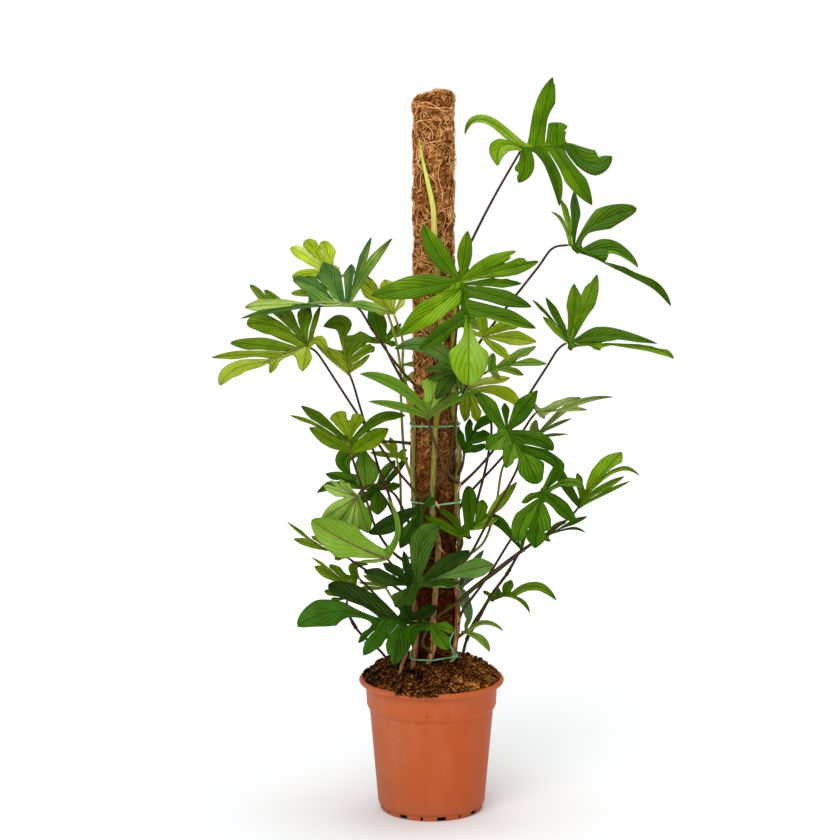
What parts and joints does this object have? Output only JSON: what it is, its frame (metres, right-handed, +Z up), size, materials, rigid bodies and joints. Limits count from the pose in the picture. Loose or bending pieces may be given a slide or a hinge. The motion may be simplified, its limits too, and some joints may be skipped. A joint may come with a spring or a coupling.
{
  "type": "potted oakleaf philodendron",
  "caption": "Climbing philodendron with deeply lobed leaves, its stems tied to a coir pole, in a terracotta-coloured plastic nursery pot filled with potting mix.",
  "frame": {"origin": "middle of the pot's foot, at the level of the surface it stands on", "axes": "+Z up along the pole, -Y towards the viewer of the picture, +X to the viewer's right"},
  "size_m": [0.7484, 0.4149, 1.2067],
  "materials": {
    "pot": "moulded terracotta-coloured plastic, dusty",
    "potting_mix": "crumbly bark and fibre mix, matt",
    "coir": "needled coconut fibre, matt",
    "stake": "sawn wood, matt",
    "tie": "soft green plastic",
    "stem": "smooth living stem, olive to brown",
    "sheath": "smooth pale leaf sheath, satin",
    "leaf_fresh": "glossy fresh green leaf",
    "leaf_deep": "glossy deep green leaf",
    "leaf_dark": "glossy shaded green leaf",
    "leaf_teal": "glossy bluish green leaf",
    "leaf_grey": "satin greyish green leaf",
    "leaf_young": "satin yellow-green young leaf",
    "leaf_pale": "matt pale leaf underside"
  },
  "bodies": {
    "root": {"pot": "pot", "soil": "potting_mix", "coir_sleeve": "coir", "stake": "stake", "tie_upper": "tie", "tie_middle": "tie", "tie_lower": "tie", "stem_front": "stem", "stem_left": "stem", "stem_right": "stem", "stem_back": "stem", "stem_low_left": "stem", "stem_low_right": "stem", "stem_low_back": "stem", "sheath": "sheath", "leaf_top_right": "leaf_fresh", "leaf_high_right": "leaf_fresh", "leaf_mid_right": "leaf_fresh", "leaf_front_centre": "leaf_fresh", "leaf_high_left": "leaf_deep", "leaf_mid_left": "leaf_fresh", "leaf_inner_left": "leaf_deep", "leaf_back_high_left": "leaf_young", "leaf_back_inner_left": "leaf_young", "leaf_behind_centre": "leaf_young", "leaf_behind_right": "leaf_grey", "leaf_pole_front": "leaf_teal", "leaf_pole_front_pale": "leaf_pale", "leaf_inner_left_dark": "leaf_dark", "leaf_young_right": "leaf_young", "leaf_big_right": "leaf_deep", "leaf_grey_right": "leaf_grey", "leaf_slim_right": "leaf_grey", "leaf_low_right": "leaf_fresh", "leaf_drooping_right": "leaf_deep", "leaf_small_right": "leaf_fresh", "leaf_pole_right": "leaf_fresh", "leaf_bottom_right": "leaf_fresh", "leaf_bottom_slim": "leaf_pale", "leaf_back_right": "leaf_dark", "leaf_veined_left": "leaf_fresh", "leaf_ovate_left": "leaf_deep", "leaf_pale_fan_left": "leaf_pale", "leaf_hood_left": "leaf_pale", "leaf_back_low_left": "leaf_deep", "leaf_bottom_left": "leaf_fresh", "leaf_bottom_back_left": "leaf_fresh", "leaf_front_low_left": "leaf_dark", "leaf_front_low": "leaf_teal", "leaf_front_lowest": "leaf_deep", "leaf_pole_left": "leaf_dark", "leaf_inner_right": "leaf_dark", "leaf_young_left": "leaf_young", "leaf_dark_left": "leaf_dark", "leaf_dark_right": "leaf_dark", "leaf_bottom_yellow": "leaf_young", "leaf_back_high": "leaf_deep", "leaf_back_mid": "leaf_deep", "leaf_back_low": "leaf_deep"}
  },
  "joints": []
}
